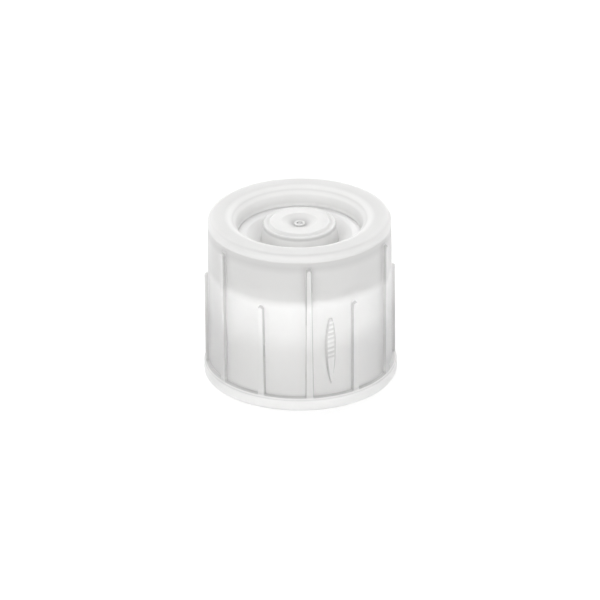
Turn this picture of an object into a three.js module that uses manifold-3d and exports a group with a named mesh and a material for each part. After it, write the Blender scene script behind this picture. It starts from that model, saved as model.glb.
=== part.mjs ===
// Ribbed push-on closure in two mouldings.
//
// The shell is a short skirt with grip ribs, a foot flange round its open end, a raised index
// mark, and a rounded ring for a top. The insert closes the ring from inside: a dished disc with
// a centre boss, whose shoulder stops under the ring and whose short skirt fits the bore, so that
// a tube pushed into the open end seats against it.
//
// Millimetres, +Z up, origin at the centre of the foot flange's underside. One of the long ribs
// faces -Y.

import * as THREE from 'three';
import { mergeVertices } from 'three/addons/utils/BufferGeometryUtils.js';
import Module from 'manifold-3d';

const wasm = await Module();
wasm.setup();

// Steps round every turned shape, and steps in half of each round in an outline.
const TURN_STEPS = 72;
const ROUND_STEPS = 2;

// Whole closure.
const HEIGHT = 17.4;
const FLANGE_RADIUS = 10;

// Shell: foot flange, drafted wall and drafted bore.
const FOOT_ROUND = 0.2;
const FLANGE_EDGE_TOP = 1;
const FLANGE_SHOULDER = { radius: 9.87, height: 1.3 };
const FLANGE_TOP = 1.5;
const WALL_RADIUS_FOOT = 9.52;
const WALL_RADIUS_TOP = 9.45;
const BORE_RADIUS_MOUTH = 8.55;
const BORE_RADIUS_TOP = 8.42;
const BORE_LEAD_IN = 0.25;

// Shell: the ring round the top opening.
const RING_THICKNESS = 2.4;
const RING_OUTER_ROUND = 0.56;
const RING_INNER_ROUND = 1.4;
const OPENING_RADIUS_TOP = 6.38;
const OPENING_RADIUS_FOOT = 6.32;

// Shell: grip ribs, long and short in turn.
const RIB_COUNT = 12;
const RIB_RADIUS = 9.87;
const RIB_ROOT_RADIUS = 9.1;
const RIB_WIDTH_TOP = 0.68;
const RIB_WIDTH_FOOT = 0.92;
const RIB_FOOT = 1.1;
const LONG_RIB_TOP = 16.05;
const SHORT_RIB_TOP = 11.6;

// Shell: index mark, a spindle with a blunt upper end, crowned from end to end.
const MARK_DEGREES = 13.5;
const MARK_FOOT = 2.55;
const MARK_TOP = 10.2;
const MARK_WIDEST_HEIGHT = 7.2;
const MARK_HALF_WIDTH = 0.7;
const MARK_TOP_HALF_WIDTH = 0.2;
const MARK_BLANK_RADIUS = 10.8;
const MARK_CROWN_RADIUS = 9.85;
const MARK_CROWN_CURVE = 30;
const MARK_CROWN_STEPS = 240;

// Insert: skirt, shoulder and the low lip that stands in the ring's opening.
const SHOULDER_GAP = 0.05;
const SKIRT_RADIUS = 8.36;
const SKIRT_FOOT = 11.6;
const SKIRT_CHAMFER = 0.15;
const SKIRT_INNER_RADIUS_FOOT = 7.1;
const SKIRT_INNER_RADIUS_TOP = 6.9;
const LIP_RADIUS = 6.27;
const LIP_TOP = 15.5;
const LIP_ROUND = 0.14;
const LIP_FOOT = { radius: 5.45, height: 15.35 };

// Insert: dished floor and hollow centre boss, whose face stands above a narrow shoulder.
const FLOOR_THICKNESS = 1.3;
const FLOOR_FOOT = 14.7;
const BOSS_RADIUS_FOOT = 3.98;
const BOSS_RADIUS_TOP = 3.75;
const BOSS_SHOULDER = 16.65;
const BOSS_ROUND = 0.12;
const BOSS_FACE_RADIUS = 3.06;
const BOSS_TOP = 16.83;
const BOSS_CORE_RADIUS_FOOT = 2.8;
const BOSS_CORE_RADIUS_TOP = 2.6;
const BOSS_CORE_TOP = 15.6;
const DIMPLE_RADIUS = 1.86;
const DIMPLE_FOOT_RADIUS = 0.35;
const DIMPLE_DEPTH = 0.4;

// Natural, uncoloured polypropylene.
const SHELL_COLOUR = 0xe6e5e3;
const INSERT_COLOUR = 0xe9e8e6;
const POLYPROPYLENE_ROUGHNESS = 0.32;

/** Turns an outline drawn as radius and height about the Z axis. */
function turn(outline) {
  const geometry = new THREE.LatheGeometry(outline.getPoints(ROUND_STEPS), TURN_STEPS);
  return geometry.rotateX(Math.PI / 2);
}

/** Stands a shape drawn as width and height on the wall, from one radius out to another. */
function raiseFromWall(shape, innerRadius, outerRadius) {
  const geometry = new THREE.ExtrudeGeometry(shape, {
    depth: outerRadius - innerRadius,
    bevelEnabled: false,
    curveSegments: 8,
  });
  geometry.translate(0, 0, innerRadius);
  return geometry.rotateX(Math.PI / 2);
}

/** Makes a solid that can be joined and cut from a closed geometry. */
function toSolid(geometry) {
  const bare = geometry.clone();
  bare.deleteAttribute('normal');
  bare.deleteAttribute('uv');
  const merged = mergeVertices(bare, 1e-4);
  return new wasm.Manifold(new wasm.Mesh({
    numProp: 3,
    vertProperties: new Float32Array(merged.attributes.position.array),
    triVerts: new Uint32Array(merged.index.array),
  }));
}

/** Makes a geometry from a finished solid. */
function toGeometry(solid) {
  const { vertProperties, triVerts } = solid.getMesh();
  const geometry = new THREE.BufferGeometry();
  geometry.setAttribute('position', new THREE.BufferAttribute(vertProperties, 3));
  geometry.setIndex(new THREE.BufferAttribute(triVerts, 1));
  geometry.computeVertexNormals();
  return geometry;
}

function shellBody() {
  const ringFoot = HEIGHT - RING_THICKNESS;
  const outline = new THREE.Path();
  outline.moveTo(BORE_RADIUS_MOUTH + BORE_LEAD_IN, 0);
  outline.lineTo(FLANGE_RADIUS - FOOT_ROUND, 0);
  outline.absarc(FLANGE_RADIUS - FOOT_ROUND, FOOT_ROUND, FOOT_ROUND, -Math.PI / 2, 0);
  outline.lineTo(FLANGE_RADIUS, FLANGE_EDGE_TOP);
  outline.lineTo(FLANGE_SHOULDER.radius, FLANGE_SHOULDER.height);
  outline.lineTo(WALL_RADIUS_FOOT, FLANGE_TOP);
  outline.lineTo(WALL_RADIUS_TOP, HEIGHT - RING_OUTER_ROUND);
  outline.absarc(WALL_RADIUS_TOP - RING_OUTER_ROUND, HEIGHT - RING_OUTER_ROUND,
    RING_OUTER_ROUND, 0, Math.PI / 2);
  outline.absarc(OPENING_RADIUS_TOP + RING_INNER_ROUND, HEIGHT - RING_INNER_ROUND,
    RING_INNER_ROUND, Math.PI / 2, Math.PI);
  outline.lineTo(OPENING_RADIUS_FOOT, ringFoot);
  outline.lineTo(BORE_RADIUS_TOP, ringFoot);
  outline.lineTo(BORE_RADIUS_MOUTH, BORE_LEAD_IN);
  outline.lineTo(BORE_RADIUS_MOUTH + BORE_LEAD_IN, 0);
  return turn(outline);
}

/** A rib that faces -Y, with a flat upper end or an arched one. */
function rib(top, arched) {
  const halfTop = RIB_WIDTH_TOP / 2;
  const halfFoot = RIB_WIDTH_FOOT / 2;
  const shape = new THREE.Shape();
  shape.moveTo(-halfFoot, RIB_FOOT);
  shape.lineTo(halfFoot, RIB_FOOT);
  if (arched) {
    shape.lineTo(halfTop, top - halfTop);
    shape.absarc(0, top - halfTop, halfTop, 0, Math.PI);
  } else {
    shape.lineTo(halfTop, top);
    shape.lineTo(-halfTop, top);
  }
  return raiseFromWall(shape, RIB_ROOT_RADIUS, RIB_RADIUS);
}

/** The index mark, turned to its place beside the rib that faces -Y. */
function indexMark() {
  const shape = new THREE.Shape();
  const lowerBend = (MARK_FOOT + MARK_WIDEST_HEIGHT) / 2;
  const upperBend = (MARK_TOP * 2 + MARK_WIDEST_HEIGHT) / 3;
  shape.moveTo(0, MARK_FOOT);
  shape.quadraticCurveTo(MARK_HALF_WIDTH, lowerBend, MARK_HALF_WIDTH, MARK_WIDEST_HEIGHT);
  shape.quadraticCurveTo(MARK_HALF_WIDTH, upperBend, MARK_TOP_HALF_WIDTH, MARK_TOP);
  shape.lineTo(-MARK_TOP_HALF_WIDTH, MARK_TOP);
  shape.quadraticCurveTo(-MARK_HALF_WIDTH, upperBend, -MARK_HALF_WIDTH, MARK_WIDEST_HEIGHT);
  shape.quadraticCurveTo(-MARK_HALF_WIDTH, lowerBend, 0, MARK_FOOT);
  const spindle = raiseFromWall(shape, RIB_ROOT_RADIUS, MARK_BLANK_RADIUS);

  const crown = new THREE.CylinderGeometry(MARK_CROWN_CURVE, MARK_CROWN_CURVE,
    MARK_HALF_WIDTH * 4, MARK_CROWN_STEPS);
  crown.rotateZ(Math.PI / 2);
  crown.translate(0, MARK_CROWN_CURVE - MARK_CROWN_RADIUS, MARK_WIDEST_HEIGHT);

  const place = THREE.MathUtils.degToRad(MARK_DEGREES);
  spindle.rotateZ(place);
  crown.rotateZ(place);
  return toSolid(spindle).intersect(toSolid(crown));
}

function ribbedShell() {
  let solid = toSolid(shellBody());
  for (let i = 0; i < RIB_COUNT; i += 1) {
    const long = i % 2 === 0;
    const geometry = rib(long ? LONG_RIB_TOP : SHORT_RIB_TOP, !long);
    geometry.rotateZ((i * Math.PI * 2) / RIB_COUNT);
    solid = solid.add(toSolid(geometry));
  }
  return toGeometry(solid.add(indexMark()));
}

function sealInsert() {
  const shoulder = HEIGHT - RING_THICKNESS - SHOULDER_GAP;
  const lipCentre = LIP_RADIUS - LIP_ROUND;
  const outline = new THREE.Path();
  outline.moveTo(0, BOSS_CORE_TOP);
  outline.lineTo(BOSS_CORE_RADIUS_TOP, BOSS_CORE_TOP);
  outline.lineTo(BOSS_CORE_RADIUS_FOOT, FLOOR_FOOT - FLOOR_THICKNESS);
  outline.lineTo(SKIRT_INNER_RADIUS_TOP, FLOOR_FOOT - FLOOR_THICKNESS);
  outline.lineTo(SKIRT_INNER_RADIUS_FOOT, SKIRT_FOOT);
  outline.lineTo(SKIRT_RADIUS - SKIRT_CHAMFER, SKIRT_FOOT);
  outline.lineTo(SKIRT_RADIUS, SKIRT_FOOT + SKIRT_CHAMFER);
  outline.lineTo(SKIRT_RADIUS, shoulder);
  outline.lineTo(LIP_RADIUS, shoulder);
  outline.lineTo(LIP_RADIUS, LIP_TOP - LIP_ROUND);
  outline.absarc(lipCentre, LIP_TOP - LIP_ROUND, LIP_ROUND, 0, Math.PI / 2);
  outline.lineTo(LIP_FOOT.radius, LIP_FOOT.height);
  outline.lineTo(BOSS_RADIUS_FOOT, FLOOR_FOOT);
  outline.lineTo(BOSS_RADIUS_TOP, BOSS_SHOULDER - BOSS_ROUND);
  outline.absarc(BOSS_RADIUS_TOP - BOSS_ROUND, BOSS_SHOULDER - BOSS_ROUND, BOSS_ROUND,
    0, Math.PI / 2);
  outline.lineTo(BOSS_FACE_RADIUS, BOSS_SHOULDER);
  outline.lineTo(BOSS_FACE_RADIUS, BOSS_TOP);
  outline.lineTo(DIMPLE_RADIUS, BOSS_TOP);
  outline.lineTo(DIMPLE_FOOT_RADIUS, BOSS_TOP - DIMPLE_DEPTH);
  outline.lineTo(0, BOSS_TOP - DIMPLE_DEPTH);
  return turn(outline);
}

function polypropylene(color) {
  return new THREE.MeshStandardMaterial({
    color,
    roughness: POLYPROPYLENE_ROUGHNESS,
    metalness: 0,
  });
}

const shell = new THREE.Mesh(ribbedShell(), polypropylene(SHELL_COLOUR));
shell.name = 'ribbed_shell';

const insert = new THREE.Mesh(sealInsert(), polypropylene(INSERT_COLOUR));
insert.name = 'seal_insert';

const closure = new THREE.Group();
closure.name = 'ribbed_closure';
closure.add(shell, insert);

export default closure;
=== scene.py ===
"""A translucent ribbed push-on closure in two mouldings, standing on its open foot on white.

The shell and the insert are each rebuilt as one fine closed mesh over their CAD solids. Feature
sizes are in millimetres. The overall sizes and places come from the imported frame.
"""
import math

import bmesh
import bpy
import numpy as np
from mathutils import Matrix, Vector


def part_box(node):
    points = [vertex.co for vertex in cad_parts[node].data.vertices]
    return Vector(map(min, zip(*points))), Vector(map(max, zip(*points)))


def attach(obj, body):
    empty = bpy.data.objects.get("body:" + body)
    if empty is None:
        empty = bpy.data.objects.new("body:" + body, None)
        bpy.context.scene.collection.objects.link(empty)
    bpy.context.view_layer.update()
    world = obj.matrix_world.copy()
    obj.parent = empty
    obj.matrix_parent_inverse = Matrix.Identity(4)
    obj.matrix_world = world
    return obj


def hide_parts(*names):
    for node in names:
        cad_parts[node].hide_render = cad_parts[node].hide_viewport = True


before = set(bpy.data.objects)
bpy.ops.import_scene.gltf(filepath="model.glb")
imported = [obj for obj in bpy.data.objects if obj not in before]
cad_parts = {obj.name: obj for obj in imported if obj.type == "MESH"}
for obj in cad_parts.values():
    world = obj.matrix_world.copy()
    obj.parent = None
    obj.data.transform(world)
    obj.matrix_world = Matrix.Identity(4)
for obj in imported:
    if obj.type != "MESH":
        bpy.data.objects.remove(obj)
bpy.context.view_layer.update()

MM = 0.001
_, shell_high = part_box("ribbed_shell")
insert_low, insert_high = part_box("seal_insert")

# Overall sizes, from the frame.
FLANGE_R = shell_high[0] / MM
HEIGHT = shell_high[2] / MM
SKIRT_R = insert_high[0] / MM
SKIRT_FOOT = insert_low[2] / MM
BOSS_TOP = insert_high[2] / MM

# Shell: wall, flange and ring.
WALL_R_TOP = 9.45
WALL_R_FOOT = 9.52
FLANGE_TOP = 1.5
RING_FOOT = HEIGHT - 2.4
RING_ROUND = 0.56
OPENING_R = 6.33
OPENING_ROUND = 1.4
RIM_FOOT = 16.55
RIM_STEP = 0.06
RIM_EDGE = 0.03
RIM_FADE = 1.2
ROW_STEP = 0.4
FINE_STEP = 0.03
BORE_R_MOUTH = 8.8
BORE_R_FOOT = 8.55
BORE_R_TOP = 8.42

# Shell: grip ribs, long and short in turn, the first one facing -Y. Their flanks are wider at
# the upper end. RIB_COLUMNS are the mesh columns across a flank, by their distance inside the rib,
# and GAP_COLUMNS are those of a gap, which start RIB_CLEAR outside it.
RIB_COUNT = 12
RIB_R = 9.87
RIB_HALF_TOP = 0.34
RIB_HALF_FOOT = 0.47
RIB_FLANK = 0.18
RIB_END = 0.4
LONG_RIB_TOP = 16.05
SHORT_RIB_TOP = 11.6
RIB_COLUMNS = (-0.05, 0.0, 0.03, 0.06, 0.09, 0.12, 0.15, 0.18, 0.22)
GAP_COLUMNS = 14
RIB_CLEAR = 0.05

# Shell: index mark, a spindle with fine ridges across its upper part. MARK_FLANKS are the shares
# of its half width that slope, on the side of the nearest rib and on the other side. Its mesh
# columns reach MARK_SPREAD times as far as it does, and the gaps beside it have MARK_GAP_COLUMNS.
MARK_DEGREES = 13.5
MARK_FOOT = 2.55
MARK_TOP = 10.2
MARK_WIDEST = 7.2
MARK_HALF = 0.7
MARK_FLANKS = (0.48, 0.72)
MARK_TOP_HALF = 0.2
MARK_RISE = 0.37
MARK_COLUMNS = 41
MARK_SPREAD = 1.3
MARK_LEAST_HALF = 0.24
MARK_GAP_COLUMNS = (6, 9)
MARK_FOOT_FADE = 0.6
MARK_TOP_FADE = (-0.02, 0.14)
RIDGE_FOOT = 5.1
RIDGE_FADE = 0.8
RIDGE_PITCH = 0.52
RIDGE_DEPTH = 0.08
RIDGE_SLANT = 0.16
RIDGE_UNEVEN = 0.25
RIDGE_BEAT = 3.1
RIDGE_PHASE = 0.7

# Shell: rows of its mesh that lie closely together: (edge, from above it, to below it).
CLOSE_ROWS = (
    (RIM_FOOT, 0.06, 0.1),
    (LONG_RIB_TOP, 0.03, 0.45),
    (SHORT_RIB_TOP, 0.03, 0.48),
    (MARK_TOP, 0.04, 0.2),
)

# Insert: floor, lip in the ring's opening, and dimple with the gate mark in the boss.
FLOOR = 14.7
FLOOR_THICK = 1.3
BOSS_HOLLOW = 0.9
RING_GAP = 0.05
LIP_R = 6.31
LIP_TOP = 15.5
DIMPLE_DEPTH = 0.4
INSERT_COLUMNS = 256

# Plastic: (height, brightness, clearness) up each moulding. Brightness is painted light and shade
# on the plastic's own white: lower where shade falls or where parts behind take light away, full
# where light comes through. Clearness is the share of light that it lets through. Outside and
# inside, and boss and floor, blend into each other between two radii.
# Painted light and shade outside: a dark line and a shaded shoulder at the flange's foot, a lit
# band at mid height, a grey band above it where the insert stands behind the wall, a dark line
# under the rim and darker rim edges.
SHELL_OUTSIDE = [
    (0.0, 1.0, 0.65),
    (1.04, 1.0, 0.65),
    (1.15, 0.66, 0.65),
    (1.26, 0.88, 0.65),
    (1.5, 0.7, 0.65),
    (1.75, 0.87, 0.9),
    (4.5, 0.89, 0.9),
    (6.5, 0.9, 0.86),
    (8.5, 0.99, 0.66),
    (11.4, 1.0, 0.56),
    (12.3, 0.76, 0.5),
    (13.8, 0.72, 0.4),
    (15.2, 0.71, 0.35),
    (15.9, 0.63, 0.35),
    (16.45, 0.67, 0.35),
    (16.6, 0.74, 0.3),
    (17.2, 0.71, 0.3),
    (17.33, 0.65, 0.3),
    (17.39, 0.68, 0.3),
]
# Painted light and shade inside the ring: the recess wall shaded, a lit band and a dark line on
# the inner rounding, and a darker top edge.
SHELL_INSIDE = [
    (14.6, 1.0, 0.92),
    (15.2, 1.0, 0.1),
    (15.6, 0.93, 0.1),
    (15.9, 0.8, 0.3),
    (16.6, 0.77, 0.3),
    (16.8, 0.85, 0.3),
    (17.0, 0.8, 0.3),
    (17.1, 0.7, 0.3),
    (17.2, 0.82, 0.3),
    (17.33, 0.81, 0.3),
    (17.39, 0.69, 0.3),
]
# Painted shade on the boss: its side shaded, darkest on the shoulder groove and in the dimple.
BOSS = [
    (14.8, 0.85, 0.3),
    (16.2, 0.82, 0.3),
    (16.32, 0.62, 0.3),
    (16.45, 0.58, 0.3),
    (16.54, 0.64, 0.3),
    (16.62, 0.73, 0.3),
    (16.8, 0.75, 0.3),
]
# Painted light and shade on the floor and lip: the floor a little shaded, the lip lit beside the
# seam.
FLOOR_AND_SKIRT = [
    (11.6, 1.0, 0.9),
    (13.2, 1.0, 0.3),
    (14.7, 0.89, 0.35),
    (15.3, 0.93, 0.35),
    (15.4, 1.0, 0.1),
]

SHELL_BLEND = (8.0, 9.2)
BOSS_BLEND = (3.98, 4.3)
OUTER_ROUGHNESS = 0.34
BORE_ROUGHNESS = 0.45
HAZE = (-0.05, 0.07)
PLASTIC_TINT = (1.0, 0.997, 0.99)
SCATTER_DEPTH = 1.5
REFRACTION = 1.49
SPECULAR_LEVEL = 0.3
FLOW_SCALE = 160.0
FLOW_SHADE = 0.97
GRAIN_SCALE = 2200.0
GRAIN_STRENGTH = 0.25
GRAIN_DEPTH = 0.02

# Plastic: the flanks of ribs and mark, between two radii, carry painted shade: they are darker and
# milkier, so that they read as dark lines. The stops share out the way from the lower radius to
# the higher one.
FLANK_LOW = 9.53
FLANK_HIGH = 9.86
FLANK_STOPS = (0.0, 0.12, 0.85, 1.0)
FLANK_PAINTED_SHADE = 0.66
FLANK_CLEARNESS = 0.65

# Camera: a long lens a little above the closure, with a slight roll.
VIEW_AZIMUTH = -5.4
VIEW_ELEVATION = 26.5
VIEW_ROLL = 0.42
VIEW_DISTANCE = 620.0
VIEW_WIDTH = 62.0
VIEW_TARGET = (-0.01, 0.0, 7.72)

# Light: a glowing table, a soft surround that is brightest above the horizon and darker to the
# left and right, one softbox above and one in front.
TABLE_HALF = 3.0
TABLE_WHITE = 0.6
TABLE_ROUGHNESS = 0.8
TABLE_GLOW = 0.39
HORIZON_LIGHT = 1.6
SIDE_LIGHT = 2.28
SIDE_HEIGHT = 0.35
TOP_LIGHT = 0.58
FLAG_START = 0.4
FLAG_SHADE = 0.52
SOFTBOX_PLACE = (-0.1, 0.4, 0.6)
SOFTBOX_SIZE = 0.5
SOFTBOX_POWER = 0.8
FILL_PLACE = (-0.35, -0.5, 0.3)
FILL_SIZE = 0.3
FILL_POWER = 0.4


# ---------------------------------------------------------------- outlines and meshes

def ramp(x, low, high):
    """Smooth step from 0 at low to 1 at high."""
    u = np.clip((x - low) / (high - low), 0.0, 1.0)
    return u * u * (3.0 - 2.0 * u)


def rounded(corners, steps=5):
    """Points along an open outline whose inner corners (radius, height, round) are rounded.

    A point close to each end of a straight stretch keeps the shading of flat faces flat.
    """
    points = [Vector(corners[0][:2])]
    for before, corner, after in zip(corners, corners[1:], corners[2:]):
        here = Vector(corner[:2])
        back = (Vector(before[:2]) - here).normalized()
        on = (Vector(after[:2]) - here).normalized()
        half = back.angle(on) / 2
        reach = corner[2] / math.tan(half)
        centre = here + (back + on).normalized() * (corner[2] / math.sin(half))
        start = here + back * reach
        end = here + on * reach
        a = start - centre
        sweep = a.angle_signed(end - centre)
        support = min(0.04, reach / 2)
        points.append(start + back * support)
        for i in range(steps + 1):
            points.append(centre + Matrix.Rotation(-sweep * i / steps, 2) @ a)
        points.append(end + on * support)
    points.append(Vector(corners[-1][:2]))
    return [(p.x, p.y) for p in points]


def grid_object(name, x, y, z, wrap_rows, poles=()):
    """A mesh over rows and columns of points, closed round its columns.

    wrap_rows joins the last row to the first; poles are the heights of a point on the axis
    that closes the first row and the last one.
    """
    rows, columns = x.shape
    verts = np.stack((x, y, z), axis=-1).reshape(-1, 3) * MM
    faces = []
    for i in range(rows if wrap_rows else rows - 1):
        a, b = i * columns, ((i + 1) % rows) * columns
        for j in range(columns):
            k = (j + 1) % columns
            faces.append((a + j, a + k, b + k, b + j))
    verts = verts.tolist()
    for height, first in zip(poles, (0, (rows - 1) * columns)):
        verts.append((0.0, 0.0, height * MM))
        for j in range(columns):
            faces.append((first + j, first + (j + 1) % columns, len(verts) - 1))
    mesh = bpy.data.meshes.new(name)
    mesh.from_pydata(verts, [], faces)
    bm = bmesh.new()
    bm.from_mesh(mesh)
    bmesh.ops.recalc_face_normals(bm, faces=bm.faces)
    for face in bm.faces:
        face.smooth = True
    bm.to_mesh(mesh)
    bm.free()
    obj = bpy.data.objects.new(name, mesh)
    bpy.context.scene.collection.objects.link(obj)
    return obj


# ---------------------------------------------------------------- shell

def rib_half(z):
    """Half width of a rib at its root: ribs widen towards the foot."""
    share = np.clip((LONG_RIB_TOP - z) / (LONG_RIB_TOP - FLANGE_TOP), 0.0, 1.0)
    return RIB_HALF_TOP + (RIB_HALF_FOOT - RIB_HALF_TOP) * share


def mark_half(z):
    """Half width of the index mark: a spindle with a blunt upper end."""
    below = 1.0 - ((MARK_WIDEST - z) / (MARK_WIDEST - MARK_FOOT)) ** 2
    above = ((z - MARK_WIDEST) / (MARK_TOP - MARK_WIDEST)) ** 2
    upper = MARK_HALF + (MARK_TOP_HALF - MARK_HALF) * above
    half = np.where(z < MARK_WIDEST, MARK_HALF * below, upper)
    return np.clip(half, 0.0, MARK_HALF)


def rows_near(edge, above, below):
    """Closely spaced heights from above an edge to below it."""
    return list(edge - np.arange(-above, below, FINE_STEP))


def wall_heights():
    """Heights of the wall's rows, from the top down, closer where a feature needs them."""
    heights = list(np.arange(FLANGE_TOP + 0.03, HEIGHT - RING_ROUND, ROW_STEP))
    for edge, above, below in CLOSE_ROWS:
        heights += rows_near(edge, above, below)
    heights += list(np.arange(MARK_FOOT - 0.2, RIDGE_FOOT, ROW_STEP / 2))
    heights += list(np.arange(RIDGE_FOOT, MARK_TOP + 0.05, RIDGE_PITCH / 8))
    kept = []
    for z in sorted(heights, reverse=True):
        if not kept or kept[-1] - z > 0.6 * FINE_STEP:
            kept.append(z)
    return np.array(kept)


def shell_columns(z):
    """Angle of every column at the heights z, one row of angles for each height."""
    flat = z[:, None]
    pitch = 2 * math.pi / RIB_COUNT
    inward = np.array(RIB_COLUMNS)[None, :]
    mark = math.radians(MARK_DEGREES)
    spread = np.linspace(-MARK_SPREAD, MARK_SPREAD, MARK_COLUMNS)[None, :]
    parts = []
    for k in range(RIB_COUNT):
        near = (rib_half(flat) - inward) / WALL_R_TOP
        parts += [k * pitch - near, np.full_like(flat, k * pitch), k * pitch + near[:, ::-1]]
        start = k * pitch + (rib_half(flat) + RIB_CLEAR) / WALL_R_TOP
        end = (k + 1) * pitch - (rib_half(flat) + RIB_CLEAR) / WALL_R_TOP
        stretches = [(start, end, GAP_COLUMNS)]
        middle = None
        if k == 0:
            middle = mark + spread * np.maximum(mark_half(flat), MARK_LEAST_HALF) / WALL_R_TOP
            before, after = MARK_GAP_COLUMNS
            stretches = [(start, middle[:, :1], before), (middle[:, -1:], end, after)]
        for i, (low, high, count) in enumerate(stretches):
            share = np.linspace(0.0, 1.0, count + 2)[None, 1:-1]
            parts.append(low + (high - low) * share)
            if middle is not None and i == 0:
                parts.append(middle)
    return np.concatenate(parts, axis=1)


def rib_share(angle, z):
    """How far each point of the wall stands out towards the ribs' face, from 0 to 1."""
    pitch = 2 * math.pi / RIB_COUNT
    index = np.rint(angle / pitch)
    is_long = index % 2 == 0
    across = np.abs(angle - index * pitch) * WALL_R_TOP
    inside = rib_half(z) - across
    arch = SHORT_RIB_TOP - RIB_HALF_TOP
    arched = RIB_HALF_TOP - np.hypot(across, np.maximum(z - arch, 0.0))
    short = np.where(z > arch, np.minimum(inside, arched), inside)
    long = np.minimum(inside, LONG_RIB_TOP - z)
    top = np.where(is_long, LONG_RIB_TOP, SHORT_RIB_TOP)
    flank = RIB_FLANK + (RIB_END - RIB_FLANK) * ramp(z, top - 0.5, top)
    return ramp(np.where(is_long, long, short), 0.0, flank)


def mark_rise(angle, z):
    """Height of the index mark above the wall."""
    across = (angle - math.radians(MARK_DEGREES)) * WALL_R_TOP
    half = np.maximum(mark_half(z), 0.02)
    flank = np.where(across < 0.0, MARK_FLANKS[0], MARK_FLANKS[1])
    section = ramp(1.0 - np.abs(across) / half, 0.0, flank)
    crown = ramp(z, MARK_FOOT, MARK_FOOT + MARK_FOOT_FADE) * ramp(MARK_TOP - z, *MARK_TOP_FADE)
    slant = z - RIDGE_SLANT * across
    wave = 0.5 - 0.5 * np.cos(2 * math.pi * (slant - RIDGE_FOOT) / RIDGE_PITCH)
    uneven = 1.0 - RIDGE_UNEVEN + RIDGE_UNEVEN * np.sin(RIDGE_BEAT * slant + RIDGE_PHASE)
    ridges = RIDGE_DEPTH * wave * uneven * ramp(z, RIDGE_FOOT, RIDGE_FOOT + RIDGE_FADE)
    return section * crown * (MARK_RISE - ridges)


def build_shell():
    wall_z = wall_heights()
    taper = (HEIGHT - RING_ROUND - wall_z) / (HEIGHT - RING_ROUND - FLANGE_TOP)
    wall_r = WALL_R_TOP + (WALL_R_FOOT - WALL_R_TOP) * taper
    wall_r -= (RIM_STEP * ramp(RIM_FOOT - wall_z, -RIM_EDGE, RIM_EDGE)
               * ramp(wall_z, RIM_FOOT - RIM_FADE, RIM_FOOT))
    below = rounded([
        (wall_r[-1], wall_z[-1] - 0.001),
        (WALL_R_FOOT, FLANGE_TOP, 0.02),
        (RIB_R, 1.3, 0.05),
        (FLANGE_R, 1.0, 0.2),
        (FLANGE_R, 0.0, 0.2),
        (BORE_R_MOUTH, 0.0, 0.06),
        (BORE_R_FOOT, 0.25, 0.12),
        (BORE_R_TOP, RING_FOOT, 0.15),
        (OPENING_R, RING_FOOT, 0.1),
        (OPENING_R + 0.06, HEIGHT, OPENING_ROUND),
        (WALL_R_TOP, HEIGHT, RING_ROUND),
        (wall_r[0], wall_z[0] + 0.001),
    ])[1:-1]
    r = np.concatenate([wall_r, [p[0] for p in below]])
    z = np.concatenate([wall_z, [p[1] for p in below]])
    angle = shell_columns(z)
    heights = np.broadcast_to(z[:, None], angle.shape)
    radii = np.broadcast_to(r[:, None], angle.shape).copy()
    outside = (radii > WALL_R_TOP - 0.3) & (heights > 1.28)
    room = np.maximum(RIB_R - radii, 0.0)
    on_wall = (np.arange(len(r)) < len(wall_z))[:, None]
    radii += np.where(outside, room * rib_share(angle, heights), 0.0)
    radii += np.where(on_wall, mark_rise(angle, heights), 0.0)
    return grid_object("shell", radii * np.sin(angle), -radii * np.cos(angle), heights, True)


# ---------------------------------------------------------------- insert

def build_insert():
    shoulder = RING_FOOT - RING_GAP
    dimple = BOSS_TOP - DIMPLE_DEPTH
    outline = rounded([
        (0.001, dimple + 0.16),
        (0.1, dimple + 0.16, 0.02),
        (0.16, dimple - 0.12, 0.03),
        (0.28, dimple - 0.12, 0.03),
        (0.36, dimple + 0.19, 0.03),
        (0.56, dimple + 0.19, 0.03),
        (0.62, dimple, 0.03),
        (1.86, BOSS_TOP - 0.01, 0.15),
        (2.93, BOSS_TOP - 0.03, 0.05),
        (3.04, BOSS_TOP, 0.03),
        (3.28, BOSS_TOP - 0.2, 0.1),
        (3.66, BOSS_TOP - 0.17, 0.07),
        (3.75, BOSS_TOP - 0.34, 0.08),
        (3.98, FLOOR, 0.06),
        (5.45, 15.35, 0.14),
        (LIP_R, LIP_TOP, 0.03),
        (LIP_R, shoulder, 0.05),
        (SKIRT_R, shoulder, 0.12),
        (SKIRT_R, SKIRT_FOOT + 0.9, 1.0),
        (SKIRT_R - 0.5, SKIRT_FOOT, 0.15),
        (7.1, SKIRT_FOOT, 0.15),
        (6.9, FLOOR - FLOOR_THICK, 0.3),
        (2.8, FLOOR - FLOOR_THICK, 0.2),
        (2.6, FLOOR + BOSS_HOLLOW, 0.4),
        (0.001, FLOOR + BOSS_HOLLOW),
    ])[1:-1]
    r = np.array([p[0] for p in outline])[:, None]
    z = np.array([p[1] for p in outline])[:, None]
    angle = np.linspace(0.0, 2 * math.pi, INSERT_COLUMNS, endpoint=False)[None, :]
    z = np.broadcast_to(z, (len(outline), INSERT_COLUMNS))
    poles = (outline[0][1], outline[-1][1])
    return grid_object("insert", r * np.sin(angle), -r * np.cos(angle), z, False, poles)


# ---------------------------------------------------------------- materials

def colour_ramp(nodes, stops):
    """A colour ramp with a stop for each (position, colour)."""
    node = nodes.new("ShaderNodeValToRGB")
    elements = node.color_ramp.elements
    for i, (position, colour) in enumerate(stops):
        element = elements[i] if i < 2 else elements.new(position)
        element.position = position
        element.color = colour
    return node


def zone_ramp(nodes, zones):
    """Colours up a moulding with painted light and shade by height, with the clearness in their
    alpha.
    """
    return colour_ramp(nodes, [
        (height / HEIGHT, (*[painted_brightness * share for share in PLASTIC_TINT], clearness))
        for height, painted_brightness, clearness in zones
    ])


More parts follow.
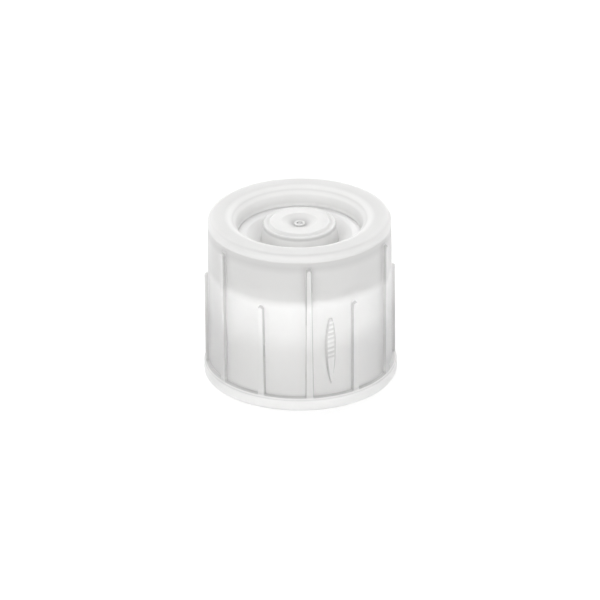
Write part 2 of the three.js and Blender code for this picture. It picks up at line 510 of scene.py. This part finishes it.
def flank_shade_ramp(nodes):
    """White off the flanks and painted shade on them, with their clearness in the alpha."""
    plain = (1.0, 1.0, 1.0, 1.0)
    flank = (FLANK_PAINTED_SHADE, FLANK_PAINTED_SHADE, FLANK_PAINTED_SHADE, FLANK_CLEARNESS)
    return colour_ramp(nodes, list(zip(FLANK_STOPS, (plain, flank, flank, plain))))


def share_between(nodes, links, value, low, high, smooth=False):
    """How far a value is from low to high, from 0 to 1."""
    node = nodes.new("ShaderNodeMapRange")
    if smooth:
        node.interpolation_type = "SMOOTHSTEP"
    node.inputs["From Min"].default_value = low
    node.inputs["From Max"].default_value = high
    links.new(value, node.inputs["Value"])
    return node.outputs["Result"]


def multiplied(nodes, links, first, second):
    """One colour times another."""
    node = nodes.new("ShaderNodeMix")
    node.data_type = "RGBA"
    node.blend_type = "MULTIPLY"
    node.inputs["Factor"].default_value = 1.0
    links.new(first, node.inputs["A"])
    links.new(second, node.inputs["B"])
    return node.outputs["Result"]


def noise(nodes, links, place, scale, detail):
    """How strong a noise is at each place in the moulding, from 0 to 1."""
    node = nodes.new("ShaderNodeTexNoise")
    node.inputs["Scale"].default_value = scale
    node.inputs["Detail"].default_value = detail
    links.new(place, node.inputs["Vector"])
    return node.outputs["Fac"]


def height_and_radius(nodes, links, place):
    """A point's share of the closure's height, and its distance from the axis."""
    split = nodes.new("ShaderNodeSeparateXYZ")
    links.new(place, split.inputs["Vector"])
    flat = nodes.new("ShaderNodeCombineXYZ")
    links.new(split.outputs["X"], flat.inputs["X"])
    links.new(split.outputs["Y"], flat.inputs["Y"])
    radius = nodes.new("ShaderNodeVectorMath")
    radius.operation = "LENGTH"
    links.new(flat.outputs["Vector"], radius.inputs[0])
    level = share_between(nodes, links, split.outputs["Z"], 0.0, HEIGHT * MM)
    return level, radius.outputs["Value"]


def natural_plastic(name, outer_zones, inner_zones, blend, outer_rough, inner_rough):
    """Uncoloured moulded plastic, clear where it is thin and milky where it is thick, with painted
    light and shade in its body colour by height.

    The inner zones and roughness pass into the outer ones between the two radii of blend. On
    the flanks of ribs and mark, the body has painted shade: it is darker and lets less light
    through.
    """
    material = bpy.data.materials.new(name)
    material.use_nodes = True
    nodes, links = material.node_tree.nodes, material.node_tree.links
    shader = nodes["Principled BSDF"]
    shader.inputs["IOR"].default_value = REFRACTION
    shader.inputs["Specular IOR Level"].default_value = SPECULAR_LEVEL
    shader.inputs["Subsurface Weight"].default_value = 1.0
    shader.inputs["Subsurface Radius"].default_value = (1.0, 1.0, 1.0)
    shader.inputs["Subsurface Scale"].default_value = SCATTER_DEPTH * MM

    place = nodes.new("ShaderNodeTexCoord").outputs["Object"]
    level, radius = height_and_radius(nodes, links, place)
    outside = share_between(nodes, links, radius, blend[0] * MM, blend[1] * MM, smooth=True)
    flow = noise(nodes, links, place, FLOW_SCALE, 3.0)

    # The body colour carries the painted light and shade of the zone tables.
    body = nodes.new("ShaderNodeMix")
    body.data_type = "RGBA"
    clear = nodes.new("ShaderNodeMix")
    for zones, socket in ((inner_zones, "A"), (outer_zones, "B")):
        zone = zone_ramp(nodes, zones)
        links.new(level, zone.inputs["Fac"])
        links.new(zone.outputs["Color"], body.inputs[socket])
        links.new(zone.outputs["Alpha"], clear.inputs[socket])
    for mix in (body, clear):
        links.new(outside, mix.inputs["Factor"])

    uneven = nodes.new("ShaderNodeMix")
    uneven.data_type = "RGBA"
    uneven.blend_type = "MULTIPLY"
    uneven.inputs["B"].default_value = (FLOW_SHADE, FLOW_SHADE, FLOW_SHADE, 1.0)
    links.new(flow, uneven.inputs["Factor"])
    links.new(body.outputs["Result"], uneven.inputs["A"])
    # Painted shade on the flanks of ribs and mark: a darker colour and less light let through.
    flanks = flank_shade_ramp(nodes)
    reach = share_between(nodes, links, radius, FLANK_LOW * MM, FLANK_HIGH * MM)
    links.new(reach, flanks.inputs["Fac"])
    colour = multiplied(nodes, links, uneven.outputs["Result"], flanks.outputs["Color"])
    links.new(colour, shader.inputs["Base Color"])
    passed = nodes.new("ShaderNodeMath")
    passed.operation = "MULTIPLY"
    links.new(clear.outputs["Result"], passed.inputs[0])
    links.new(flanks.outputs["Alpha"], passed.inputs[1])
    links.new(passed.outputs["Value"], shader.inputs["Transmission Weight"])

    matt = nodes.new("ShaderNodeMix")
    matt.inputs["A"].default_value = inner_rough
    matt.inputs["B"].default_value = outer_rough
    links.new(outside, matt.inputs["Factor"])
    haze = nodes.new("ShaderNodeMapRange")
    haze.inputs["To Min"].default_value = HAZE[0]
    haze.inputs["To Max"].default_value = HAZE[1]
    links.new(flow, haze.inputs["Value"])
    rough = nodes.new("ShaderNodeMath")
    links.new(matt.outputs["Result"], rough.inputs[0])
    links.new(haze.outputs["Result"], rough.inputs[1])
    links.new(rough.outputs["Value"], shader.inputs["Roughness"])

    grain = nodes.new("ShaderNodeBump")
    grain.inputs["Strength"].default_value = GRAIN_STRENGTH
    grain.inputs["Distance"].default_value = GRAIN_DEPTH * MM
    links.new(noise(nodes, links, place, GRAIN_SCALE, 2.0), grain.inputs["Height"])
    links.new(grain.outputs["Normal"], shader.inputs["Normal"])
    return material


def ground_material():
    material = bpy.data.materials.new("ground_white")
    material.use_nodes = True
    shader = material.node_tree.nodes["Principled BSDF"]
    shader.inputs["Base Color"].default_value = (TABLE_WHITE, TABLE_WHITE, TABLE_WHITE, 1.0)
    shader.inputs["Roughness"].default_value = TABLE_ROUGHNESS
    shader.inputs["Emission Color"].default_value = (1.0, 1.0, 1.0, 1.0)
    shader.inputs["Emission Strength"].default_value = TABLE_GLOW
    return material


# ---------------------------------------------------------------- camera, light and ground

def add_camera():
    azimuth, elevation = math.radians(VIEW_AZIMUTH), math.radians(VIEW_ELEVATION)
    back = Vector((
        math.sin(azimuth) * math.cos(elevation),
        -math.cos(azimuth) * math.cos(elevation),
        math.sin(elevation),
    ))
    data = bpy.data.cameras.new("camera")
    data.sensor_width = 36.0
    data.lens = data.sensor_width * VIEW_DISTANCE / VIEW_WIDTH
    data.clip_start = 0.01
    data.clip_end = 10.0
    camera = bpy.data.objects.new("camera", data)
    bpy.context.scene.collection.objects.link(camera)
    camera.location = (Vector(VIEW_TARGET) + back * VIEW_DISTANCE) * MM
    turn = (-back).to_track_quat("-Z", "Y").to_matrix()
    roll = Matrix.Rotation(math.radians(-VIEW_ROLL), 3, "Z")
    camera.rotation_euler = (turn @ roll).to_euler()
    bpy.context.scene.camera = camera


def add_softbox(name, place, size, power):
    data = bpy.data.lights.new(name, "AREA")
    data.shape = "SQUARE"
    data.size = size
    data.energy = power
    light = bpy.data.objects.new(name, data)
    bpy.context.scene.collection.objects.link(light)
    light.location = place
    aim = Vector((0.0, 0.0, 0.5 * HEIGHT * MM)) - Vector(place)
    light.rotation_euler = aim.to_track_quat("-Z", "Y").to_euler()


def add_ground():
    mesh = bpy.data.meshes.new("ground")
    half = TABLE_HALF
    mesh.from_pydata([(-half, -half, 0), (half, -half, 0), (half, half, 0), (-half, half, 0)],
                     [], [(0, 1, 2, 3)])
    mesh.materials.append(ground_material())
    ground = bpy.data.objects.new("ground", mesh)
    bpy.context.scene.collection.objects.link(ground)


def add_world():
    world = bpy.data.worlds.new("studio")
    world.use_nodes = True
    nodes, links = world.node_tree.nodes, world.node_tree.links
    background = nodes["Background"]
    place = nodes.new("ShaderNodeTexCoord")
    split = nodes.new("ShaderNodeSeparateXYZ")
    links.new(place.outputs["Generated"], split.inputs["Vector"])
    level = colour_ramp(nodes, [
        (0.0, (HORIZON_LIGHT, HORIZON_LIGHT, HORIZON_LIGHT, 1.0)),
        (SIDE_HEIGHT, (SIDE_LIGHT, SIDE_LIGHT, SIDE_LIGHT, 1.0)),
        (1.0, (TOP_LIGHT, TOP_LIGHT, TOP_LIGHT, 1.0)),
    ])
    links.new(split.outputs["Z"], level.inputs["Fac"])
    links.new(level.outputs["Color"], background.inputs["Color"])
    sideways = nodes.new("ShaderNodeMath")
    sideways.operation = "ABSOLUTE"
    links.new(split.outputs["X"], sideways.inputs[0])
    flags = nodes.new("ShaderNodeMapRange")
    flags.interpolation_type = "SMOOTHSTEP"
    flags.inputs["From Min"].default_value = FLAG_START
    flags.inputs["To Min"].default_value = 1.0
    flags.inputs["To Max"].default_value = FLAG_SHADE
    links.new(sideways.outputs["Value"], flags.inputs["Value"])
    links.new(flags.outputs["Result"], background.inputs["Strength"])
    bpy.context.scene.world = world


# ---------------------------------------------------------------- the scene

add_camera()
add_world()
add_ground()
add_softbox("top_softbox", SOFTBOX_PLACE, SOFTBOX_SIZE, SOFTBOX_POWER)
add_softbox("front_softbox", FILL_PLACE, FILL_SIZE, FILL_POWER)
bpy.context.scene.view_settings.view_transform = "Standard"

shell = build_shell()
shell.data.materials.append(natural_plastic(
    "shell_plastic", SHELL_OUTSIDE, SHELL_INSIDE, SHELL_BLEND, OUTER_ROUGHNESS, BORE_ROUGHNESS))
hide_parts("ribbed_shell")
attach(shell, "shell")

insert = build_insert()
insert.data.materials.append(natural_plastic(
    "insert_plastic", FLOOR_AND_SKIRT, BOSS, BOSS_BLEND, OUTER_ROUGHNESS, OUTER_ROUGHNESS))
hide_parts("seal_insert")
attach(insert, "insert")
